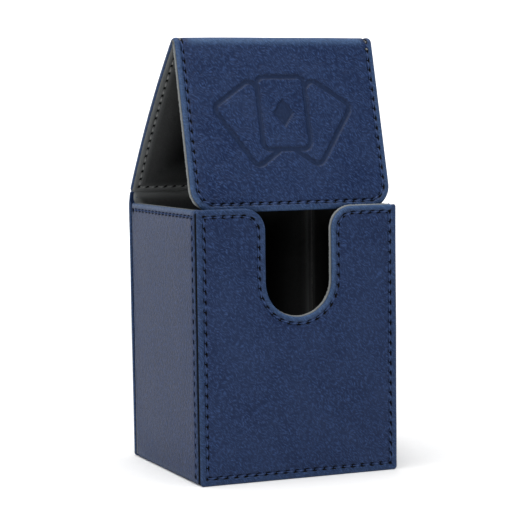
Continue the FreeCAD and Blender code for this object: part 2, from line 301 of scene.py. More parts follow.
# --- Outlines, and the cross-sections that run round them ------------------------------------------


class Outline:
    """A panel's edge, anticlockwise: corners as (across, along, radius), with square turns.

    Rings at any inset have the same number of points, so that they join up into a skin.
    """

    def __init__(self, corners, step=STEP):
        self.corners = [np.array(corner[:2], float) for corner in corners]
        self.radii = [corner[2] for corner in corners]
        self.step = step
        count = len(corners)
        self.ways = []
        for number in range(count):
            before = self.corners[number] - self.corners[number - 1]
            after = self.corners[(number + 1) % count] - self.corners[number]
            self.ways.append((before / np.linalg.norm(before), after / np.linalg.norm(after)))
        self.counts = self.share_out()
        self.line = self.ring(STITCH_INSET)
        steps = np.linalg.norm(np.roll(self.line, -1, axis=0) - self.line, axis=1)
        self.along = np.concatenate([[0], np.cumsum(steps)])
        self.size = len(self.line)

    def turn(self, number, inset):
        """A corner's arc at this inset: its middle, radius, and the ways to its two ends."""
        before, after = self.ways[number]
        left_before = np.array([-before[1], before[0]])
        left_after = np.array([-after[1], after[0]])
        inwards = left_before + left_after
        corner = self.corners[number] + inset * inwards
        convex = before[0] * after[1] - before[1] * after[0] > 0
        radius = self.radii[number]
        if convex:
            radius = max(radius - inset, SMALLEST_ROUND)
            return corner + radius * inwards, radius, -left_before, -left_after
        radius = radius + inset
        return corner - radius * inwards, radius, left_before, left_after

    def share_out(self):
        """How many steps each corner's arc and each straight run gets."""
        counts = []
        for number in range(len(self.corners)):
            middle, radius, first, last = self.turn(number, STITCH_INSET)
            following = self.turn((number + 1) % len(self.corners), STITCH_INSET)
            run = following[0] + following[1] * following[2] - (middle + radius * last)
            arc_steps = max(6, round(radius * math.pi / 2 / self.step))
            counts.append((arc_steps, round(float(np.linalg.norm(run)) / self.step)))
        return counts

    def ring(self, inset):
        points = []
        for number, (arc_steps, run_steps) in enumerate(self.counts):
            middle, radius, first, last = self.turn(number, inset)
            angles = np.arange(arc_steps) / arc_steps * math.pi / 2
            arc = np.outer(np.cos(angles), first) + np.outer(np.sin(angles), last)
            points.append(middle + radius * arc)
            if run_steps:
                following = self.turn((number + 1) % len(self.corners), inset)
                start = middle + radius * last
                end = following[0] + following[1] * following[2]
                share = np.arange(run_steps) / run_steps
                points.append(start + np.outer(share, end - start))
        return np.concatenate(points)

    def corner_index(self, number):
        """The ring point at the middle of a corner's arc."""
        before = sum(arc + run for arc, run in self.counts[:number])
        return before + self.counts[number][0] // 2

    def holes(self, first_corner, last_corner):
        """Needle holes, evenly spaced along the sewn line between two corners."""
        start = self.along[self.corner_index(first_corner)]
        end = self.along[self.corner_index(last_corner)]
        if end <= start:
            end += self.along[-1]
        count = max(1, round((end - start) / STITCH_PITCH))
        return [start + (end - start) * k / count for k in range(count + 1)]

    def at(self, distances):
        """Points on the sewn line at these distances round it."""
        closed = np.vstack([self.line, self.line[:1]])
        distances = np.mod(distances, self.along[-1])
        return np.column_stack([np.interp(distances, self.along, closed[:, k]) for k in (0, 1)])


# Leather's cross-section at a free edge, from under the board out to the face: (inset, level).
# The two layers are sewn together there, so the suede's raw edge shows beside the leather's.
LEATHER_FREE = [
    (0.95, 1.8), (0.95, 1.62), (0.85, 1.55), (0.6, 1.58), (0.35, 1.78), (0.3, 2.05),
    (0.5, 2.38), (0.9, 2.62), (1.45, 2.76), (2.0, 2.74),
]
# At a butted or standing edge the leather turns right round the board.
LEATHER_TURNED = [
    (0.95, 1.8), (0.95, 0.7), (0.75, 0.62), (0.3, 0.66), (0.05, 0.95), (0.0, 1.7),
    (0.2, 2.25), (0.6, 2.58), (1.25, 2.75), (2.0, 2.74),
]
# The side panels' leather is domed down into the groove beside the front panel, and laps forward
# under the front panel's leather.
LEATHER_DOMED = [
    (0.95, 1.8), (0.95, 0.7), (0.75, 0.62), (0.35, 0.66), (0.1, 0.85), (0.0, 1.15),
    (0.15, 1.6), (0.6, 2.12), (1.3, 2.48), (2.0, 2.68),
]
# The front panel's leather stands over that groove with a rounded lip.
LEATHER_LAPPED = [
    (0.95, 1.8), (0.95, 0.7), (0.85, 0.66), (0.82, 1.4), (0.55, 1.8), (0.2, 2.0),
    (0.04, 2.22), (0.2, 2.5), (0.75, 2.71), (2.0, 2.74),
]
SIDE_LAP = 0.5  # how far the side panels' leather reaches past the front panel's inner face
# How much painted shade goes down in that groove, on the points of the domed section by number.
GROOVE_SHADE = {4: 1.0, 5: 1.0, 6: 1.0, 7: 0.35}
# Suede's cross-section, with levels counted inwards from its own face: a thick soft edge.
SUEDE_FREE = [
    (1.0, -0.6), (0.88, -0.72), (0.86, -1.0), (0.5, -1.08), (0.12, -0.98), (0.0, -0.66),
    (0.08, -0.28), (0.4, 0.0), (1.1, 0.1), (2.0, 0.08),
]
SUEDE_FLAT = [
    (1.0, -0.6), (0.9, -0.6), (0.8, -0.6), (0.7, -0.58), (0.55, -0.5), (0.5, -0.35),
    (0.55, -0.15), (0.8, -0.03), (1.3, 0.0), (2.0, 0.0),
]
# Which points of a section, by number, are beyond its hidden underside, on its raw edge and on
# its face.
BEYOND_UNDERSIDE = 3
RAW_EDGE = range(3, 7)
FACE_START = 7
# Offsets of the rings on either side of the sewn line, and how deep the thread pulls it in.
SEWN_RINGS = [-0.72, -0.46, -0.3, -0.16, -0.04, 0.08, 0.2, 0.34, 0.5, 0.75, 1.15]
SEWN_DEPTH = 0.26
SEWN_WIDTH = 0.62
HOLE_DEPTH = 0.62
HOLE_LENGTH = 0.98
HOLE_WIDTH = 0.5
HOLE_SLANT = math.radians(14)
SUEDE_HOLE_DEPTH = 0.3
SUEDE_FUZZ = 0.11  # how ragged the suede's raw edge is
FUZZ_SEED = 11
FUZZ_STRIDE = 7
EDGE_PROBE = 0.5  # how far in from the outline an edge is asked whether it is free
LEATHER_WEAR_AND_HIGHLIGHT_REACH = (0.15, 3.3)  # how far in a rim's pale wear and painted highlight start and stop fading
# how far in the suede's pale raw edge, and the painted light that fades in from it, reach
SUEDE_EDGE_AND_LIGHT_REACH = (0.1, 5.0)
BEAD_HEIGHT = 0.05  # the edge outside the sewn line stands this much proud of the face
EDGE_SWELL = 0.06
FACE_SWELL = 0.03
CROWN_HEIGHT = 0.1  # a face is this much higher in its middle
CROWN_REACH = 16
PAINTED_SHADE_REACH = 15  # how far in from the sewn line the painted shade goes on darkening the suede
CHUNK = 400  # points compared with a ring at one time, which saves memory
CUT_SCALE = 10  # the piece's own map counts in centimetres


class Skin:
    """Points, faces and surface values of one piece, gathered ring by ring."""

    def __init__(self):
        self.flat = []
        self.level = []
        # hole carries painted shade in needle holes and grooves, rim pale edges with painted light, and
        # deep painted shade further in.
        self.values = {"hole": [], "rim": [], "press": [], "deep": []}
        self.faces = []
        self.count = 0

    def add(self, flat, level, **values):
        start = self.count
        self.flat.append(flat)
        self.level.append(np.broadcast_to(level, len(flat)).astype(float))
        for name, kept in self.values.items():
            kept.append(np.broadcast_to(values.get(name, 0.0), len(flat)).astype(float))
        self.count += len(flat)
        return np.arange(start, self.count)

    def join(self, lower, upper):
        """Faces between two rings, lower seen under upper from outside."""
        nxt = np.roll(np.arange(len(lower)), -1)
        quads = np.column_stack([lower, lower[nxt], upper[nxt], upper])
        self.faces.extend(quads.tolist())

    def fill(self, ring, inner, level, flip=False, **values):
        """Fills a ring, through the loose points inner, into triangles."""
        border = np.concatenate(self.flat)[ring]
        count = len(border)
        edges = [(k, (k + 1) % count) for k in range(count)]
        coords = [Vector(p) for p in np.vstack([border, inner])]
        found = delaunay_2d_cdt(coords, edges, [], 1, 1e-6)
        kept, triangles, origins = found[0], found[2], found[3]
        if len(kept) != len(coords):
            raise RuntimeError("two points of a filled face fell together")
        loose = self.add(inner, level, **values)
        numbers = [ring[o[0]] if o[0] < count else loose[o[0] - count] for o in origins]
        for triangle in triangles:
            corners = [int(numbers[k]) for k in triangle]
            self.faces.append(corners[::-1] if flip else corners)

    def mesh(self, name, place, looks):
        flat = np.concatenate(self.flat)
        level = np.concatenate(self.level)
        mesh = bpy.data.meshes.new(name)
        mesh.from_pydata(place(flat, level) * MM, [], self.faces)
        cut = mesh.uv_layers.new(name="cut")
        corner = np.zeros(len(mesh.loops), np.int32)
        mesh.loops.foreach_get("vertex_index", corner)
        cut.data.foreach_set("uv", (flat[corner] / CUT_SCALE).astype(np.float32).ravel())
        for title, kept in self.values.items():
            values = np.concatenate(kept).astype(np.float32)
            mesh.attributes.new(title, "FLOAT", "POINT").data.foreach_set("value", values)
        mesh.polygons.foreach_set("use_smooth", np.full(len(mesh.polygons), True))
        mesh.materials.append(looks)
        mesh.update()
        piece = bpy.data.objects.new(name, mesh)
        bpy.context.scene.collection.objects.link(piece)
        return piece


def swell(flat):
    """The slow unevenness of leather glued over board."""
    x, y = flat[:, 0], flat[:, 1]
    waves = np.sin(x / 9.1 + 0.7 * np.sin(y / 17.3)) * np.cos(y / 12.7 + 0.9 * np.sin(x / 14.1))
    return waves + 0.6 * np.sin((x + 1.7 * y) / 21.3)


def grid_of(columns, lines):
    return np.array(np.meshgrid(columns, lines)).reshape(2, -1).T


def gap_to(points, ring):
    """How far each point is from a ring."""
    gaps = np.zeros(len(points))
    for start in range(0, len(points), CHUNK):
        some = points[start:start + CHUNK]
        gap = np.hypot(some[:, :1] - ring[:, 0], some[:, 1:] - ring[:, 1])
        gaps[start:start + CHUNK] = gap.min(axis=1)
    return gaps


def within(points, ring):
    """Which points are inside a ring."""
    following = np.roll(ring, -1, axis=0)
    rise = np.where(following[:, 1] == ring[:, 1], 1, following[:, 1] - ring[:, 1])
    found = np.full(len(points), False)
    for start in range(0, len(points), CHUNK):
        some = points[start:start + CHUNK]
        x, y = some[:, :1], some[:, 1:]
        crossing = (ring[:, 1] > y) != (following[:, 1] > y)
        at = ring[:, 0] + (y - ring[:, 1]) / rise * (following[:, 0] - ring[:, 0])
        found[start:start + CHUNK] = (crossing & (x < at)).sum(axis=1) % 2 == 1
    return found


def even_points(outline, inset, rows=(), dense=None):
    """Loose points inside a ring: an even grid, extra rows, and a close grid in one area."""
    ring = outline.ring(inset)
    low, high = ring.min(axis=0) + SPACING / 2, ring.max(axis=0)
    lines = np.arange(low[1], high[1], SPACING)
    if len(rows):
        lines = lines[(lines < rows[0] - SPACING / 2) | (lines > rows[-1] + SPACING / 2)]
        lines = np.sort(np.concatenate([lines, rows]))
    grid = grid_of(np.arange(low[0], high[0], SPACING), lines)
    if dense is not None:
        x0, y0, x1, y1, close = dense
        margin = close * 1.5
        outside = (grid[:, 0] < x0 - margin) | (grid[:, 0] > x1 + margin)
        outside |= (grid[:, 1] < y0 - margin) | (grid[:, 1] > y1 + margin)
        fine = grid_of(np.arange(x0, x1, close), np.arange(y0, y1, close))
        grid = np.vstack([grid[outside], fine])
    clear = gap_to(grid, ring) > SPACING * 0.35
    return grid[within(grid, ring) & clear]


def roughen(number, count):
    """A lively, repeatable unevenness round one ring, from -1 to 1."""
    noise = np.random.default_rng(FUZZ_SEED + number).uniform(-1, 1, count)
    return noise[np.mod(np.arange(count) * FUZZ_STRIDE + number, count)]


def sewn_share(outline, sewn):
    """1 at the outline's points along its sewn runs, and 0 at the others."""
    around = outline.along[-1]
    share = np.zeros(outline.size)
    for run in sewn:
        middle, reach_out = (run[0] + run[-1]) / 2, (run[-1] - run[0]) / 2 + 0.3
        gap = np.abs(np.mod(outline.along[:-1] - middle + around / 2, around) - around / 2)
        share = np.maximum(share, 1 - smooth(reach_out, reach_out + 1.2, gap))
    return share


def needle_pits(outline, holes, offset):
    """How deep in a needle hole each point beside the sewn line is, from 0 to 1."""
    if not len(holes):
        return np.zeros(outline.size)
    around = outline.along[-1]
    gap = outline.along[:-1, None] - np.mod(holes, around)[None, :]
    gap = gap - around * np.round(gap / around)
    long = gap * math.cos(HOLE_SLANT) + offset * math.sin(HOLE_SLANT)
    wide = -gap * math.sin(HOLE_SLANT) + offset * math.cos(HOLE_SLANT)
    far = (long / HOLE_LENGTH) ** 2 + (wide / HOLE_WIDTH) ** 2
    return np.exp(-(far**1.6)).max(axis=1)


def covering(
    name, outline, place, looks, free, turned, freedom, face_level, under_level,
    runs=(), relief=None, rows=(), dense=None, fuzz=0.0, hole_depth=HOLE_DEPTH,
    rim_reach=LEATHER_WEAR_AND_HIGHLIGHT_REACH, worn=None, seam=None,
):
    """One covering: a closed skin round its edge, its sewn groove with holes, and its faces.

    freedom(points) is 1 at free edges, where the section is free, and 0 where it is turned.
    relief gives how far points are pressed in; the other two give where a painted highlight goes and
    how much painted shade goes down in a groove.
    """
    def pale_edge_and_light_at(inset):
        return 1 - smooth(*rim_reach, inset)

    skin = Skin()
    rings = []
    share = freedom(outline.ring(EDGE_PROBE))
    for number, ((inset, level), (turned_inset, turned_level)) in enumerate(zip(free, turned)):
        flat = outline.ring(turned_inset) * (1 - share[:, None])
        flat = flat + outline.ring(inset) * share[:, None]
        if fuzz and number in RAW_EDGE:
            ragged = fuzz * roughen(number, outline.size)
            fifth = outline.ring(inset + 0.2) - outline.ring(inset)  # of a millimetre inwards
            flat = flat + 5 * fifth * ragged[:, None]
        crest = EDGE_SWELL * swell(flat * 2.3) if number >= FACE_START else 0
        levels = level * share + turned_level * (1 - share) + crest
        # rim: pale edges, from wear on leather and the raw edge on suede, with painted light fading in
        # from the edge.
        rim = pale_edge_and_light_at(inset) * (0.5 + 0.5 * share) if number >= BEYOND_UNDERSIDE else 0.0
        # Painted shade down in the groove beside the front panel, kept with the needle holes' painted
        # shade.
        shade = seam(flat) * GROOVE_SHADE.get(number, 0.0) if seam else 0.0
        rings.append(skin.add(flat, levels, rim=rim, hole=shade))

    sewn = [outline.holes(*run) for run in runs]
    holes = np.array([hole for run in sewn for hole in run])
    in_row = sewn_share(outline, sewn)
    for offset in SEWN_RINGS:
        flat = outline.ring(STITCH_INSET + offset)
        groove = np.exp(-((offset / SEWN_WIDTH) ** 2)) * SEWN_DEPTH * in_row
        pit = needle_pits(outline, holes, offset)
        bead = 1 - smooth(-0.75, 0.6, offset)
        levels = face_level + BEAD_HEIGHT * bead - groove - hole_depth * pit
        levels = levels + FACE_SWELL * swell(flat)
        # The pit also goes out as painted shade, which turns each needle hole nearly black.
        rings.append(skin.add(flat, levels, hole=pit, rim=pale_edge_and_light_at(STITCH_INSET + offset)))
    for lower, upper in zip(rings, rings[1:]):
        skin.join(lower, upper)

    inner_inset = STITCH_INSET + SEWN_RINGS[-1]
    inner = even_points(outline, inner_inset, rows, dense)
    depth = gap_to(inner, outline.ring(inner_inset))
    pressed = relief(inner) if relief else np.zeros(len(inner))
    levels = face_level + CROWN_HEIGHT * smooth(0, CROWN_REACH, depth) + FACE_SWELL * swell(inner)
    # deep is painted shade that darkens the suede further in from its sewn line.
    skin.fill(
        rings[-1], inner, levels - PRESS_DEPTH * pressed, press=pressed,
        rim=worn(inner) if worn else 0.0, deep=smooth(0, PAINTED_SHADE_REACH, depth),
    )
    under = even_points(outline, free[0][0], rows)
    skin.fill(rings[0], under, under_level, flip=True)
    return skin.mesh(name, place, looks)


# --- The pressed mark on the flap: a fan of three blank cards --------------------------------------

PRESS_DEPTH = 0.5
MARK_CENTRE = 26.5  # from the ridge's soft leather down to the middle card's middle
CARD_WIDTH = 19
CARD_HEIGHT = 27.5
CARD_ROUND = 2.8
LINE_WIDTH = 1.9
FAN_ANGLE = 34
FAN_PIVOT = 22
PIP_HALF_WIDTH = 4.2
PIP_HALF_HEIGHT = 5.6
MARK_HALF_WIDTH = 28.5
MARK_HALF_HEIGHT = 21
MARK_SPACING = 0.27


def card_gap(x, y, angle):
    """How far a point is outside one card of the fan; negative inside."""
    turn = math.radians(angle)
    up = y + FAN_PIVOT
    across_card = x * math.cos(turn) - up * math.sin(turn)
    along_card = x * math.sin(turn) + up * math.cos(turn) - FAN_PIVOT
    wide = np.abs(across_card) - (CARD_WIDTH / 2 - CARD_ROUND)
    high = np.abs(along_card) - (CARD_HEIGHT / 2 - CARD_ROUND)
    outside = np.hypot(np.maximum(wide, 0), np.maximum(high, 0))
    return outside + np.minimum(np.maximum(wide, high), 0) - CARD_ROUND


def card_fan(flat):
    """The depth of the pressed mark, from 0 to 1."""
    x = flat[:, 0]
    y = -(flat[:, 1] - (LID_LENGTH + RIDGE_GAP + MARK_CENTRE))
    pressed = np.zeros(len(flat))
    for angle in (FAN_ANGLE, -FAN_ANGLE, 0):
        gap = card_gap(x, y, angle)
        line = 1 - smooth(LINE_WIDTH / 2 - 0.25, LINE_WIDTH / 2 + 0.2, np.abs(gap))
        covered = gap < -LINE_WIDTH / 2
        pressed = np.maximum(np.where(covered, 0, pressed), line)
    pip = np.abs(x) / PIP_HALF_WIDTH + np.abs(y) / PIP_HALF_HEIGHT
    return np.maximum(pressed, 1 - smooth(0.9, 1.05, pip))


# --- Node helpers -----------------------------------------------------------------------------------


def node_maker(tree):
    def make(kind, at=(), **settings):
        node = tree.nodes.new(kind)
        for name, value in settings.items():
            if hasattr(node, name) and name not in node.inputs:
                setattr(node, name, value)
            else:
                node.inputs[name].default_value = value
        for socket, source in dict(at).items():
            tree.links.new(source, node.inputs[socket])
        return node
    return make


def maths(make, kind, first, second=None, third=None, clamp=False):
    node = make("ShaderNodeMath", operation=kind, use_clamp=clamp)
    for number, value in enumerate((first, second, third)):
        if value is None:
            continue
        if isinstance(value, (int, float)):
            node.inputs[number].default_value = value
        else:
            node.id_data.links.new(value, node.inputs[number])
    return node.outputs[0]


def mixed(make, factor, first, second):
    """A colour mix: each of first and second is a colour or a socket."""
    node = make("ShaderNodeMix", data_type="RGBA")
    sockets = {"factor": node.inputs[0], "first": node.inputs[6], "second": node.inputs[7]}
    for name, value in (("factor", factor), ("first", first), ("second", second)):
        if isinstance(value, bpy.types.NodeSocket):
            node.id_data.links.new(value, sockets[name])
        else:
            sockets[name].default_value = value
    return node.outputs[2]


def spread(make, value, low, high):
    """A value that runs from low to high, spread out to run from 0 to 1."""
    node = make("ShaderNodeMapRange", at={"Value": value})
    node.inputs["From Min"].default_value = low
    node.inputs["From Max"].default_value = high
    return node.outputs[0]


def shared_group(name, sizes, outputs):
    """An empty shader group that takes a place and these sizes, and puts out these values."""
    group = bpy.data.node_groups.new(name, "ShaderNodeTree")
    group.interface.new_socket("Place", in_out="INPUT", socket_type="NodeSocketVector")
    for title in sizes:
        group.interface.new_socket(title, in_out="INPUT", socket_type="NodeSocketFloat")
    for title in outputs:
        group.interface.new_socket(title, in_out="OUTPUT", socket_type="NodeSocketFloat")
    make = node_maker(group)
    return group, make, make("NodeGroupInput"), make("NodeGroupOutput")


def grain_group():
    """Fine pebbled grain that runs one way, as pressed into bonded leather."""
    group, make, given, out = shared_group("hide_grain", ["Fineness", "Slant"], ["Height", "Tone"])
    place = given.outputs["Place"]
    turned = make("ShaderNodeVectorRotate", rotation_type="Z_AXIS", at={
        "Vector": place, "Angle": given.outputs["Slant"],
    })
    drift = make("ShaderNodeTexNoise", Scale=1.7, Detail=2.0, at={"Vector": place})
    pushed = make("ShaderNodeVectorMath", operation="MULTIPLY_ADD", at={
        0: drift.outputs["Color"], 2: turned.outputs[0],
    })
    pushed.inputs[1].default_value = (0.35, 0.35, 0.0)
    stretched = make("ShaderNodeVectorMath", operation="MULTIPLY", at={0: pushed.outputs[0]})
    stretched.inputs[1].default_value = (1.0, 0.3, 1.0)
    fine = {"Vector": stretched.outputs[0], "Scale": given.outputs["Fineness"]}
    pebbles = make(
        "ShaderNodeTexVoronoi", feature="SMOOTH_F1", Smoothness=0.35, Randomness=0.9, at=fine
    )
    strands = make("ShaderNodeTexNoise", Detail=4.0, Roughness=0.62, at=fine).outputs["Fac"]
    domes = maths(make, "SUBTRACT", 1.0, pebbles.outputs["Distance"])
    height = maths(make, "MULTIPLY_ADD", strands, 0.8, domes)
    tone = maths(make, "MULTIPLY_ADD", strands, 0.7, maths(make, "MULTIPLY", domes, 0.3))
    group.links.new(height, out.inputs["Height"])
    group.links.new(tone, out.inputs["Tone"])
    return group


def cloud_group():
    """Slow uneven patches, from 0 to 1."""
    group, make, given, out = shared_group("patches", ["Size"], ["Tone"])
    noise = make("ShaderNodeTexNoise", Detail=3.0, Roughness=0.5, at={
        "Vector": given.outputs["Place"], "Scale": given.outputs["Size"],
    })
    group.links.new(spread(make, noise.outputs["Fac"], 0.3, 0.7), out.inputs["Tone"])
    return group


def fibre_group():
    """Short matted fibres, as on the suede's face and in thread, board and paper."""
    group, make, given, out = shared_group("fibres", ["Fineness"], ["Height", "Tone"])
    place, fineness = given.outputs["Place"], given.outputs["Fineness"]
    felt = make("ShaderNodeTexNoise", Detail=6.0, Roughness=0.72, Distortion=1.6, at={
        "Vector": place, "Scale": fineness,
    })
    flecks = make("ShaderNodeTexVoronoi", feature="F1", Randomness=1.0, at={
        "Vector": place, "Scale": maths(make, "MULTIPLY", fineness, 0.6),
    })
    height = maths(make, "MULTIPLY_ADD", flecks.outputs["Distance"], 0.35, felt.outputs["Fac"])
    for title in ("Height", "Tone"):
        group.links.new(height, out.inputs[title])
    return group


hide_grain = grain_group()
patches = cloud_group()
fibres = fibre_group()


def fresh_material(name):
    looks = bpy.data.materials.new(name)
    looks.use_nodes = True
    tree = looks.node_tree
    tree.nodes.clear()
    make = node_maker(tree)
    shader = make("ShaderNodeBsdfPrincipled")
    out = make("ShaderNodeOutputMaterial")
    tree.links.new(shader.outputs[0], out.inputs["Surface"])
    return looks, tree.links.new, make, shader


def use(make, link, group, **values):
    node = make("ShaderNodeGroup", node_tree=group)
    for name, value in values.items():
        if isinstance(value, bpy.types.NodeSocket):
            link(value, node.inputs[name])
        else:
            node.inputs[name].default_value = value
    return node


def surface_value(make, name):
    return make("ShaderNodeAttribute", attribute_name=name).outputs["Fac"]


def textured(make, link, shader, height, strength, distance):
    """Gives a shader its fine relief; distance is in metres."""
    bump = make("ShaderNodeBump", Strength=strength, Distance=distance, at={"Height": height})
    link(bump.outputs[0], shader.inputs["Normal"])


NAVY = (0.034, 0.071, 0.19, 1)
NAVY_DARK = (0.0045, 0.0135, 0.05, 1)
NAVY_CLOUD = (0.034, 0.06, 0.14, 1)
NAVY_PRESSED = (0.0085, 0.018, 0.05, 1)
NAVY_WEAR_AND_HIGHLIGHT = (0.078, 0.15, 0.285, 1)
PAINTED_RECESS_SHADE = (0.0008, 0.0009, 0.0012, 1)
SUEDE_GREY = (0.058, 0.06, 0.061, 1)
SUEDE_DARK = (0.022, 0.023, 0.0235, 1)
SUEDE_CLOUD = (0.027, 0.028, 0.029, 1)
SUEDE_PAINTED_SHADE = (0.0018, 0.002, 0.0022, 1)
SUEDE_RAW_EDGE_AND_LIGHT = (0.235, 0.248, 0.25, 1)
BOARD_GREY = (0.34, 0.33, 0.31, 1)
BOARD_DARK = (0.16, 0.155, 0.145, 1)
BOARD_CLOUD = (0.22, 0.21, 0.19, 1)
NICKEL = (0.68, 0.67, 0.64, 1)
NICKEL_DULL = (0.52, 0.51, 0.48, 1)


def navy_leather(name, slant):
    """Navy bonded leather: fine slanted grain, slow uneven tone, edges paler from wear and a painted
    highlight, and painted shade in the needle holes and grooves.
    """
    looks, link, make, shader = fresh_material(name)
    place = make("ShaderNodeUVMap", uv_map="cut").outputs[0]
    grain = use(make, link, hide_grain, Place=place, Fineness=26.0, Slant=slant)
    slow = use(make, link, patches, Place=place, Size=0.55)
    colour = mixed(make, spread(make, grain.outputs["Tone"], 0.47, 0.7), NAVY_DARK, NAVY)
    colour = mixed(make, maths(make, "MULTIPLY", slow.outputs["Tone"], 0.22), colour, NAVY_CLOUD)
    # The rims are paler, from wear and from a painted highlight.
    rim = maths(make, "MULTIPLY", surface_value(make, "rim"), grain.outputs["Tone"])
    colour = mixed(make, maths(make, "MULTIPLY", rim, 0.8), colour, NAVY_WEAR_AND_HIGHLIGHT)
    pressed = surface_value(make, "press")
    colour = mixed(make, maths(make, "MULTIPLY", pressed, 0.75), colour, NAVY_PRESSED)
    # Painted shade: the needle holes, and the grooves beside the front panel, go nearly black.
    hole = maths(make, "MULTIPLY", surface_value(make, "hole"), 4.0, clamp=True)
    colour = mixed(make, hole, colour, PAINTED_RECESS_SHADE)
    link(colour, shader.inputs["Base Color"])
    rough = maths(make, "MULTIPLY_ADD", grain.outputs["Tone"], 0.22, 0.36)
    rough = maths(make, "MULTIPLY_ADD", slow.outputs["Tone"], 0.05, rough)
    rough = maths(make, "MULTIPLY_ADD", hole, 0.4, rough)
    link(rough, shader.inputs["Roughness"])
    flat_share = maths(make, "SUBTRACT", 1.0, maths(make, "MULTIPLY", pressed, 0.5))
    height = maths(make, "MULTIPLY", grain.outputs["Height"], flat_share)
    textured(make, link, shader, height, 1.0, 0.00022)
    shader.inputs["Specular IOR Level"].default_value = 0.17
    return looks


def grey_suede():
    """Charcoal microfibre suede, matted and soft, paler where its edge is raw, with painted light
    fading in from its edges and painted shade further in and in its needle holes.
    """
    looks, link, make, shader = fresh_material("grey_suede")
    place = make("ShaderNodeUVMap", uv_map="cut").outputs[0]
    felt = use(make, link, fibres, Place=place, Fineness=26.0)
    slow = use(make, link, patches, Place=place, Size=0.9)
    colour = mixed(make, felt.outputs["Tone"], SUEDE_DARK, SUEDE_GREY)
    colour = mixed(make, maths(make, "MULTIPLY", slow.outputs["Tone"], 0.4), colour, SUEDE_CLOUD)
    # Painted shade: the face goes nearly black further in from the sewn line.
    deep = maths(make, "MULTIPLY", surface_value(make, "deep"), 0.95)
    colour = mixed(make, deep, colour, SUEDE_PAINTED_SHADE)
    # The raw edges are paler, and painted light fades in from them over a few millimetres.
    rim = maths(make, "MULTIPLY", surface_value(make, "rim"), 0.95, clamp=True)
    colour = mixed(make, rim, colour, SUEDE_RAW_EDGE_AND_LIGHT)
    # Painted shade: the needle holes go nearly black.
    hole = maths(make, "MULTIPLY", surface_value(make, "hole"), 1.2, clamp=True)
    colour = mixed(make, hole, colour, PAINTED_RECESS_SHADE)
    link(colour, shader.inputs["Base Color"])
    rough = maths(make, "MULTIPLY_ADD", felt.outputs["Tone"], 0.12, 0.82)
    link(rough, shader.inputs["Roughness"])
    textured(make, link, shader, felt.outputs["Height"], 0.9, 0.00025)
    shader.inputs["Specular IOR Level"].default_value = 0.06
    return looks


def sewing_thread(name, dark, pale):
    """Twisted thread, whose ply goes round it three times in each stitch."""
    looks, link, make, shader = fresh_material(name)
    turns = 3.0
    twist = maths(make, "MULTIPLY_ADD", surface_value(make, "lay"), turns, surface_value(make, "turn"))
    ply = maths(make, "SINE", maths(make, "MULTIPLY", twist, 2 * math.pi))
    ply = maths(make, "MULTIPLY_ADD", ply, 0.5, 0.5)
    place = make("ShaderNodeTexCoord").outputs["Object"]
    felt = use(make, link, fibres, Place=place, Fineness=2600.0)
    tone = maths(make, "MULTIPLY_ADD", felt.outputs["Tone"], 0.5, maths(make, "MULTIPLY", ply, 0.5))
    link(mixed(make, tone, dark, pale), shader.inputs["Base Color"])
    rough = maths(make, "MULTIPLY_ADD", felt.outputs["Tone"], 0.2, 0.42)
    link(rough, shader.inputs["Roughness"])
    textured(make, link, shader, ply, 0.6, 0.00006)
    shader.inputs["Specular IOR Level"].default_value = 0.2
    return looks


def grey_board():
    """Pressed grey bookbinding board."""
    looks, link, make, shader = fresh_material("grey_board")
    place = make("ShaderNodeTexCoord").outputs["Object"]
    pulp = use(make, link, fibres, Place=place, Fineness=900.0)
    slow = use(make, link, patches, Place=place, Size=60.0)
    colour = mixed(make, pulp.outputs["Tone"], BOARD_DARK, BOARD_GREY)
    colour = mixed(make, maths(make, "MULTIPLY", slow.outputs["Tone"], 0.3), colour, BOARD_CLOUD)
    link(colour, shader.inputs["Base Color"])
    link(maths(make, "MULTIPLY_ADD", pulp.outputs["Tone"], 0.1, 0.85), shader.inputs["Roughness"])
    textured(make, link, shader, pulp.outputs["Height"], 0.4, 0.0001)
    return looks


def nickel_plate():
    """Bright nickel plating with fine handling marks."""
    looks, link, make, shader = fresh_material("nickel_plate")
    place = make("ShaderNodeTexCoord").outputs["Object"]
    marks = use(make, link, patches, Place=place, Size=700.0)
    colour = mixed(make, marks.outputs["Tone"], NICKEL_DULL, NICKEL)
    link(colour, shader.inputs["Base Color"])
    link(maths(make, "MULTIPLY_ADD", marks.outputs["Tone"], 0.16, 0.2), shader.inputs["Roughness"])
    textured(make, link, shader, marks.outputs["Tone"], 0.1, 0.00002)
    shader.inputs["Metallic"].default_value = 1.0
    return looks


leather = navy_leather("navy_leather", slant=-0.8)
side_leather = navy_leather("navy_leather_upright_grain", slant=-0.12)
suede = grey_suede()
navy_thread = sewing_thread("navy_thread", (0.012, 0.026, 0.075, 1), (0.04, 0.075, 0.19, 1))
grey_thread = sewing_thread("grey_thread", (0.09, 0.092, 0.093, 1), (0.26, 0.265, 0.265, 1))
board = grey_board()
nickel = nickel_plate()


# --- Stitches, laid by nodes between neighbouring needle holes --------------------------------------


# In metres. A stitch dips by the sink at both needle holes and rises towards the arch between.
STITCH_SIZES = {
    "Pitch": STITCH_PITCH * MM, "Thread Radius": 0.0003, "Sink": 0.0011, "Arch": 0.00125,
    "Slant": 0.00012,
}


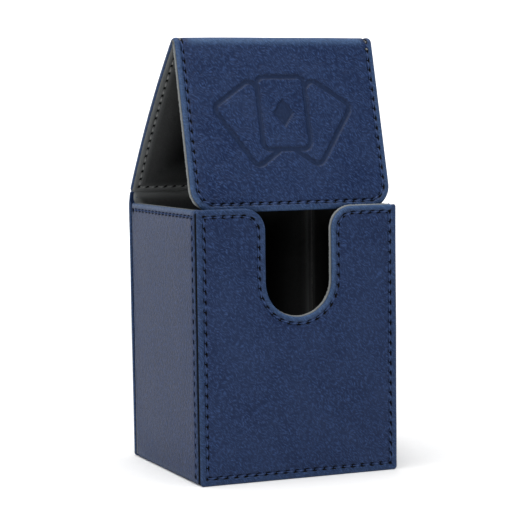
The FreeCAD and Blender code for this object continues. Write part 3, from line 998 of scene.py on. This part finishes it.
def stitch_tree():
    """Lays an arched stitch on each point, along its run, and gives it its thread."""
    tree = bpy.data.node_groups.new("lay_stitches", "GeometryNodeTree")
    sockets = {}
    for kind, title in (
        ("Geometry", "Holes"), ("Float", "Pitch"), ("Float", "Thread Radius"), ("Float", "Sink"),
        ("Float", "Arch"), ("Float", "Slant"), ("Material", "Thread"),
    ):
        socket = tree.interface.new_socket(title, in_out="INPUT", socket_type="NodeSocket" + kind)
        if title in STITCH_SIZES:
            socket.default_value = STITCH_SIZES[title]
        sockets[title] = socket.identifier
    tree.interface.new_socket("Stitches", in_out="OUTPUT", socket_type="NodeSocketGeometry")
    make = node_maker(tree)
    link = tree.links.new
    given, out = make("NodeGroupInput"), make("NodeGroupOutput")
    below = maths(make, "MULTIPLY", given.outputs["Sink"], -1.0)
    low_side = maths(make, "MULTIPLY", given.outputs["Slant"], -1.0)
    start = make("ShaderNodeCombineXYZ", at={"Y": low_side, "Z": below})
    early = maths(make, "MULTIPLY", given.outputs["Pitch"], 0.5)
    crest = make("ShaderNodeCombineXYZ", at={"X": early, "Z": given.outputs["Arch"]})
    end = make("ShaderNodeCombineXYZ", at={
        "X": given.outputs["Pitch"], "Y": given.outputs["Slant"], "Z": below,
    })
    path = make("GeometryNodeCurveQuadraticBezier", Resolution=7, at={
        "Start": start.outputs[0], "Middle": crest.outputs[0], "End": end.outputs[0],
    })
    share = make("GeometryNodeSplineParameter").outputs["Factor"]
    kept = make("GeometryNodeStoreNamedAttribute", data_type="FLOAT", domain="POINT", at={
        "Geometry": path.outputs[0], "Value": share,
    })
    kept.inputs["Name"].default_value = "lay"
    circle = make("GeometryNodeCurvePrimitiveCircle", Resolution=6, at={
        "Radius": given.outputs["Thread Radius"],
    })
    round_share = make("GeometryNodeStoreNamedAttribute", data_type="FLOAT", domain="POINT", at={
        "Geometry": circle.outputs[0], "Value": share,
    })
    round_share.inputs["Name"].default_value = "turn"
    tube = make("GeometryNodeCurveToMesh", at={
        "Curve": kept.outputs[0], "Profile Curve": round_share.outputs[0],
    })
    tube.inputs["Fill Caps"].default_value = True
    run = make("GeometryNodeInputNamedAttribute", data_type="FLOAT_VECTOR")
    run.inputs["Name"].default_value = "run"
    up = make("GeometryNodeInputNamedAttribute", data_type="FLOAT_VECTOR")
    up.inputs["Name"].default_value = "up"
    facing = make("FunctionNodeAxesToRotation", primary_axis="Z", secondary_axis="X", at={
        "Primary Axis": up.outputs[0], "Secondary Axis": run.outputs[0],
    })
    length = make("ShaderNodeVectorMath", operation="LENGTH", at={0: run.outputs[0]})
    stretch = maths(make, "DIVIDE", length.outputs["Value"], given.outputs["Pitch"])
    scale = make("ShaderNodeCombineXYZ", Y=1.0, Z=1.0, at={"X": stretch})
    points = make("GeometryNodeMeshToPoints", at={"Mesh": given.outputs["Holes"]})
    laid = make("GeometryNodeInstanceOnPoints", at={
        "Points": points.outputs[0], "Instance": tube.outputs[0],
        "Rotation": facing.outputs[0], "Scale": scale.outputs[0],
    })
    real = make("GeometryNodeRealizeInstances", at={"Geometry": laid.outputs[0]})
    smoothed = make("GeometryNodeSetShadeSmooth", at={"Geometry": real.outputs[0]})
    dressed = make("GeometryNodeSetMaterial", at={
        "Geometry": smoothed.outputs[0], "Material": given.outputs["Thread"],
    })
    link(dressed.outputs[0], out.inputs[0])
    return tree, sockets


lay_stitches, stitch_sockets = stitch_tree()


class Row:
    """Needle holes of one sewn run, with the way out of the surface at each."""

    def __init__(self, outline, place, level, run):
        self.flat = outline.at(np.array(outline.holes(*run)))
        self.points = place(self.flat, np.full(len(self.flat), level))
        self.up = place(self.flat, np.full(len(self.flat), level + 0.5)) - self.points


def stitched(name, rows, thread, keep=None):
    """One mesh of every stitch in these rows that keep(flat middle) picks."""
    starts, runs, ups = [], [], []
    for row in rows:
        for number in range(len(row.points) - 1):
            middle = (row.flat[number] + row.flat[number + 1]) / 2
            if keep and not keep(middle):
                continue
            starts.append(row.points[number] * MM)
            runs.append((row.points[number + 1] - row.points[number]) * MM)
            ups.append(row.up[number] + row.up[number + 1])
    mesh = bpy.data.meshes.new(name + "_holes")
    mesh.from_pydata(starts, [], [])
    for title, vectors in (("run", runs), ("up", ups)):
        attribute = mesh.attributes.new(title, "FLOAT_VECTOR", "POINT")
        attribute.data.foreach_set("vector", np.array(vectors, np.float32).ravel())
    holder = bpy.data.objects.new(name + "_holes", mesh)
    bpy.context.scene.collection.objects.link(holder)
    modifier = holder.modifiers.new("lay_stitches", "NODES")
    modifier.node_group = lay_stitches
    for title, value in {**STITCH_SIZES, "Thread": thread}.items():
        modifier[stitch_sockets[title]] = value
    graph = bpy.context.evaluated_depsgraph_get()
    plain = bpy.data.meshes.new_from_object(holder.evaluated_get(graph), depsgraph=graph)
    plain.name = name
    piece = bpy.data.objects.new(name, plain)
    bpy.context.scene.collection.objects.link(piece)
    bpy.data.objects.remove(holder)
    return piece


# --- The pieces' outlines, and where their edges are free -------------------------------------------

half = BOX_WIDTH / 2
notch = NOTCH_WIDTH / 2
notch_foot = BOX_HEIGHT - NOTCH_DEPTH
side_half = INNER_DEPTH / 2
LINING_HIDDEN = 1.8  # the front and back linings stop short, behind the side panels


def front_edge(side):
    """The front panel's edge, with its thumb notch."""
    return Outline([
        (-side, 0, OUTER_CORNER), (side, 0, OUTER_CORNER), (side, BOX_HEIGHT, OUTER_CORNER),
        (notch, BOX_HEIGHT, SHOULDER_RADIUS), (notch, notch_foot, notch),
        (-notch, notch_foot, notch), (-notch, BOX_HEIGHT, SHOULDER_RADIUS),
        (-side, BOX_HEIGHT, OUTER_CORNER),
    ])


def four_sided(low, high, length, far_radius=OUTER_CORNER, step=STEP):
    """A plain panel's edge, from low to high across; far_radius is at its two far corners."""
    return Outline([
        (low, 0, OUTER_CORNER), (high, 0, OUTER_CORNER),
        (high, length, far_radius), (low, length, far_radius),
    ], step)


def even_sided(width, length, far_radius=OUTER_CORNER, step=STEP):
    return four_sided(-width / 2, width / 2, length, far_radius, step)


front_outline = front_edge(half)
front_lining_outline = front_edge(half - LINING_HIDDEN)
left_outline = four_sided(-side_half, side_half + SIDE_LAP, BOX_HEIGHT)
right_outline = four_sided(-side_half - SIDE_LAP, side_half, BOX_HEIGHT)
side_lining_outline = even_sided(INNER_DEPTH, BOX_HEIGHT)
base_outline = even_sided(INNER_WIDTH, INNER_DEPTH, step=BASE_STEP)
back_outline = even_sided(BOX_WIDTH, BOX_HEIGHT + HINGE_GAP)
back_lining_outline = even_sided(BOX_WIDTH - 2 * LINING_HIDDEN, BOX_HEIGHT + HINGE_GAP)
lid_outline = even_sided(LID_WIDTH, lid_strip.length, FLAP_CORNER)

# Each sewn run goes from one corner of its outline to another, anticlockwise.
FRONT_RUNS = [(0, 1), (1, 2), (2, 7), (7, 0)]
LEFT_RUNS = [(1, 2), (2, 3)]
RIGHT_RUNS = [(2, 3), (3, 0)]
BACK_FOOT_RUNS = [(0, 1)]
BACK_SIDE_RUNS = [(1, 2), (3, 0)]
LID_RUNS = [(1, 2), (2, 3), (3, 0)]
LID_INNER_RUNS = [(0, 1), (1, 2), (2, 3), (3, 0)]


def rim_free(flat):
    """The front is free in its notch and along the rim from there to the right, but no corner."""
    across_edge = 1 - smooth(half - 2.2, half - 0.6, flat[:, 0])
    across_edge = across_edge * smooth(-notch - 2, -notch + 5, flat[:, 0])
    return smooth(notch_foot - 4, notch_foot - 2, flat[:, 1]) * across_edge


def rim_free_inside(flat):
    return rim_free(flat * np.array([-1, 1]))


def side_free(flat):
    """A side panel is free along the rim, between its corners."""
    corner = smooth(side_half - 2.2, side_half - 0.6, np.abs(flat[:, 0]))
    return smooth(BOX_HEIGHT - 3, BOX_HEIGHT - 1, flat[:, 1]) * (1 - corner)


def side_hardly_free(flat):
    return 0.4 * side_free(flat)


def never_free(flat):
    return np.zeros(len(flat))


def hinge_free(flat):
    """The back is turned at its edges; the soft hinge above it shows both layers."""
    return smooth(BOX_HEIGHT - 1, BOX_HEIGHT + 2, flat[:, 1])


def flap_free(flat):
    """The lid's leather is turned over its board; the flap's sides show both layers."""
    end = lid_strip.length
    foot = 0.75 * smooth(end - 4, end - 1, flat[:, 1])
    return smooth(LID_LENGTH - 3, LID_LENGTH + RIDGE_GAP + 2, flat[:, 1]) - foot


def painted_groove_shade(flat):
    """Painted shade in the grooves where the side panels' leather meets the front's and the back's."""
    below_rim = 1 - smooth(BOX_HEIGHT - 2, BOX_HEIGHT - 1, flat[:, 1])
    return smooth(side_half - 1.6, side_half - 1, np.abs(flat[:, 0])) * below_rim


def ridge_worn(flat):
    """A painted highlight along the ridge, where the hide bends over it."""
    along = flat[:, 1] - LID_LENGTH
    return 0.9 * smooth(-1, 1, along) * (1 - smooth(RIDGE_GAP - 1, RIDGE_GAP + 1.5, along))


def bend_rows(outline, low, high):
    """Rows of points through a bend, level with every other one of the outline's own points."""
    side = outline.ring(STITCH_INSET + SEWN_RINGS[-1])
    straight = side[np.abs(side[:, 0] - side[:, 0].max()) < 1e-6]
    levels = np.sort(straight[:, 1])
    picked = levels[(levels > low - 1.2) & (levels < min(high + 1.2, levels[-1] - 0.3))]
    return picked[::2]


hinge_rows = bend_rows(back_outline, BOX_HEIGHT, BOX_HEIGHT + HINGE_GAP)
ridge_rows = bend_rows(lid_outline, LID_LENGTH, LID_LENGTH + RIDGE_GAP)
mark_middle = LID_LENGTH + RIDGE_GAP + MARK_CENTRE
mark_area = (
    -MARK_HALF_WIDTH, mark_middle - MARK_HALF_HEIGHT,
    MARK_HALF_WIDTH, mark_middle + MARK_HALF_HEIGHT, MARK_SPACING,
)


# --- The coverings ------------------------------------------------------------------------------------


def leather_piece(name, outline, place, freedom, looks=leather, turned=LEATHER_TURNED, **more):
    return covering(
        name, outline, LeatherSide(place), looks, LEATHER_FREE, turned, freedom,
        face_level=WALL, under_level=BOARD_TOP, **more,
    )


def suede_piece(name, outline, place, freedom, **more):
    return covering(
        name, outline, LiningSide(place), suede, SUEDE_FREE, SUEDE_FLAT, freedom,
        face_level=0.0, under_level=-LINING, fuzz=SUEDE_FUZZ, hole_depth=SUEDE_HOLE_DEPTH,
        rim_reach=SUEDE_EDGE_AND_LIGHT_REACH, **more,
    )


front_leather = leather_piece(
    "front_leather", front_outline, front_place, rim_free, turned=LEATHER_LAPPED, runs=FRONT_RUNS
)
left_leather, right_leather = (
    leather_piece(
        name, outline, place, side_free, side_leather, LEATHER_DOMED, runs=runs, seam=painted_groove_shade
    )
    for name, outline, place, runs in (
        ("left_side_leather", left_outline, left_place, LEFT_RUNS),
        ("right_side_leather", right_outline, right_place, RIGHT_RUNS),
    )
)
base_leather = leather_piece("base_leather", base_outline, base_place, never_free)
back_leather = leather_piece(
    "back_and_hinge_leather", back_outline, back_strip, hinge_free,
    runs=BACK_FOOT_RUNS + BACK_SIDE_RUNS, rows=hinge_rows,
)
# The lid's leather gets a painted highlight along the ridge.
lid_leather = leather_piece(
    "lid_and_flap_leather", lid_outline, lid_strip, flap_free, runs=LID_RUNS,
    rows=ridge_rows, relief=card_fan, dense=mark_area, worn=ridge_worn,
)

front_suede = suede_piece("front_suede", front_lining_outline, front_place, rim_free_inside)
left_suede = suede_piece("left_side_suede", side_lining_outline, left_place, side_hardly_free)
right_suede = suede_piece("right_side_suede", side_lining_outline, right_place, side_hardly_free)
base_suede = suede_piece("base_suede", base_outline, base_place, never_free)
back_suede = suede_piece(
    "back_and_hinge_suede", back_lining_outline, back_strip, hinge_free, rows=hinge_rows
)
lid_suede = suede_piece(
    "lid_and_flap_suede", lid_outline, lid_strip, flap_free, runs=LID_INNER_RUNS, rows=ridge_rows
)


# --- The stitching ------------------------------------------------------------------------------------

RIDGE_REACH = 3.5  # stitches this near the ridge's soft leather are kept apart as ridge stitches


def outer_rows(outline, place, runs):
    return [Row(outline, LeatherSide(place), WALL - SEWN_DEPTH, run) for run in runs]


def inner_rows(outline, place, runs):
    return [Row(outline, LiningSide(place), -SEWN_DEPTH, run) for run in runs]


def on_lid(middle):
    return middle[1] < LID_LENGTH - RIDGE_REACH


def on_flap(middle):
    return middle[1] > LID_LENGTH + RIDGE_GAP + RIDGE_REACH


def on_ridge(middle):
    return not on_lid(middle) and not on_flap(middle)


box_rows = (
    outer_rows(front_outline, front_place, FRONT_RUNS)
    + outer_rows(left_outline, left_place, LEFT_RUNS)
    + outer_rows(right_outline, right_place, RIGHT_RUNS)
    + outer_rows(back_outline, back_strip, BACK_FOOT_RUNS)
)
back_rows = outer_rows(back_outline, back_strip, BACK_SIDE_RUNS)
lid_rows = outer_rows(lid_outline, lid_strip, LID_RUNS)
lid_inner_rows = inner_rows(lid_outline, lid_strip, LID_INNER_RUNS)
box_stitches = stitched("box_stitches", box_rows, navy_thread)
back_stitches = stitched("back_and_hinge_stitches", back_rows, navy_thread)
lid_stitches = stitched("lid_stitches", lid_rows, navy_thread, on_lid)
ridge_stitches = stitched("ridge_stitches", lid_rows, navy_thread, on_ridge)
flap_stitches = stitched("flap_stitches", lid_rows, navy_thread, on_flap)
lid_inner_stitches = stitched("lid_inner_stitches", lid_inner_rows, grey_thread, on_lid)
ridge_inner_stitches = stitched("ridge_inner_stitches", lid_inner_rows, grey_thread, on_ridge)
flap_inner_stitches = stitched("flap_inner_stitches", lid_inner_rows, grey_thread, on_flap)


# --- What each piece stands for, and what the one-body pieces ride on --------------------------------


def metres(point):
    return (0, point[0] * MM, point[1] * MM)


HINGE_BLEND = (metres(hinge_start), metres((hinge_start[0], lid_start[1])))
RIDGE_BLEND = (metres(lid_end), metres(flap_start))

for piece, body, slot, nodes in (
    (front_leather, "box", "leather", ["front_cover"]),
    (left_leather, "box", "leather", ["left_side_cover"]),
    (right_leather, "box", "leather", ["right_side_cover"]),
    (base_leather, "box", "leather", ["base_cover"]),
    (front_suede, "box", "lining", ["front_lining"]),
    (left_suede, "box", "lining", ["left_side_lining"]),
    (right_suede, "box", "lining", ["right_side_lining"]),
    (base_suede, "box", "lining", ["base_lining"]),
    (box_stitches, "box", "thread",
     ["front_stitching", "left_side_stitching", "right_side_stitching"]),
    (lid_stitches, "lid", "thread", ["lid_stitching"]),
    (lid_inner_stitches, "lid", "thread", []),
    (flap_stitches, "flap", "thread", ["flap_stitching"]),
    (flap_inner_stitches, "flap", "thread", []),
):
    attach(piece, body)
    if nodes:
        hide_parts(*nodes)

for piece, bodies, path, slot, nodes in (
    (back_leather, ("box", "lid"), HINGE_BLEND, "leather", ["back_cover", "rear_hinge_leather"]),
    (back_suede, ("box", "lid"), HINGE_BLEND, "lining", ["back_lining", "rear_hinge_lining"]),
    (back_stitches, ("box", "lid"), HINGE_BLEND, "thread", ["back_stitching"]),
    (lid_leather, ("lid", "flap"), RIDGE_BLEND, "leather",
     ["lid_cover", "ridge_leather", "flap_cover"]),
    (lid_suede, ("lid", "flap"), RIDGE_BLEND, "lining",
     ["lid_lining", "ridge_lining", "flap_lining"]),
    (ridge_stitches, ("lid", "flap"), RIDGE_BLEND, "thread", []),
    (ridge_inner_stitches, ("lid", "flap"), RIDGE_BLEND, "thread", []),
):
    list(bodies)
    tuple(path[0])
    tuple(path[1])
    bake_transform(piece)
    if nodes:
        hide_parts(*nodes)

for name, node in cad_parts.items():
    if node.hide_render:
        continue
    node.data.materials.clear()
    node.data.materials.append(nickel if name.endswith("magnets") else board)


# --- Floor, light and camera -------------------------------------------------------------------------


def pale_paper():
    """A white paper sweep with the faintest tooth."""
    looks, link, make, shader = fresh_material("pale_paper")
    place = make("ShaderNodeTexCoord").outputs["Object"]
    tooth = use(make, link, fibres, Place=place, Fineness=500.0)
    colour = mixed(make, tooth.outputs["Tone"], (0.86, 0.86, 0.86, 1), (0.9, 0.9, 0.9, 1))
    link(colour, shader.inputs["Base Color"])
    shader.inputs["Roughness"].default_value = 0.9
    shader.inputs["Specular IOR Level"].default_value = 0.1
    return looks


def paper_sweep():
    """A wide floor that turns up into a backdrop far behind the box."""
    width, depth, turn_at, radius, height, steps = 3.0, 1.6, 1.5, 0.5, 1.6, 16
    profile = [(-depth, 0.0), (turn_at, 0.0)]
    for step in range(1, steps + 1):
        angle = math.pi / 2 * step / steps
        profile.append((turn_at + radius * math.sin(angle), radius * (1 - math.cos(angle))))
    profile.append((turn_at + radius, height))
    points, faces = [], []
    for y, z in profile:
        points += [(-width, y, z), (width, y, z)]
    for number in range(len(profile) - 1):
        first = 2 * number
        faces.append((first, first + 1, first + 3, first + 2))
    mesh = bpy.data.meshes.new("paper_sweep")
    mesh.from_pydata(points, [], faces)
    mesh.polygons.foreach_set("use_smooth", [True] * len(faces))
    mesh.materials.append(pale_paper())
    sweep = bpy.data.objects.new("paper_sweep", mesh)
    bpy.context.scene.collection.objects.link(sweep)
    return sweep


paper_sweep()


def soft_light(name, place, target, size, power):
    """A soft box at place, turned to target; size is its width and height in metres."""
    data = bpy.data.lights.new(name, "AREA")
    data.shape = "RECTANGLE"
    data.size, data.size_y = size
    data.energy = power
    light = bpy.data.objects.new(name, data)
    light.location = place
    light.rotation_euler = (Vector(target) - Vector(place)).to_track_quat("-Z", "Y").to_euler()
    bpy.context.scene.collection.objects.link(light)


MIDDLE = (0, 0, 0.08)
soft_light("top_box", (-0.1, -0.1, 1.1), MIDDLE, (1.1, 1.1), 17)
soft_light("front_box", (-0.55, -1.3, 0.75), MIDDLE, (0.7, 0.7), 5.6)
soft_light("backdrop_box", (0, 1.0, 0.8), (0.3, 1.9, 0.2), (3.0, 0.5), 34)

world = bpy.data.worlds.new("studio")
world.use_nodes = True
bpy.context.scene.world = world
all_round = world.node_tree.nodes["Background"]
all_round.inputs["Color"].default_value = (1, 1, 1, 1)
all_round.inputs["Strength"].default_value = 0.24

CAMERA_AZIMUTH = math.radians(-23.11)
CAMERA_ELEVATION = math.radians(4.56)
CAMERA_ROLL = math.radians(-0.685)
CAMERA_DISTANCE = 0.7399
CAMERA_TARGET = Vector((0.00095, 0, 0.07725))
CAMERA_LENS = 132.93
SENSOR_WIDTH = 36

camera = bpy.data.objects.new("camera", bpy.data.cameras.new("camera"))
back_way = Vector((
    math.sin(CAMERA_AZIMUTH) * math.cos(CAMERA_ELEVATION),
    -math.cos(CAMERA_AZIMUTH) * math.cos(CAMERA_ELEVATION),
    math.sin(CAMERA_ELEVATION),
))
camera.location = CAMERA_TARGET + back_way * CAMERA_DISTANCE
camera.rotation_mode = "QUATERNION"
level_turn = (-back_way).to_track_quat("-Z", "Y")
camera.rotation_quaternion = Quaternion(back_way, CAMERA_ROLL) @ level_turn
camera.data.lens = CAMERA_LENS
camera.data.sensor_width = SENSOR_WIDTH
camera.data.clip_start = 0.01
bpy.context.scene.collection.objects.link(camera)
bpy.context.scene.camera = camera
bpy.context.scene.view_settings.view_transform = "Standard"
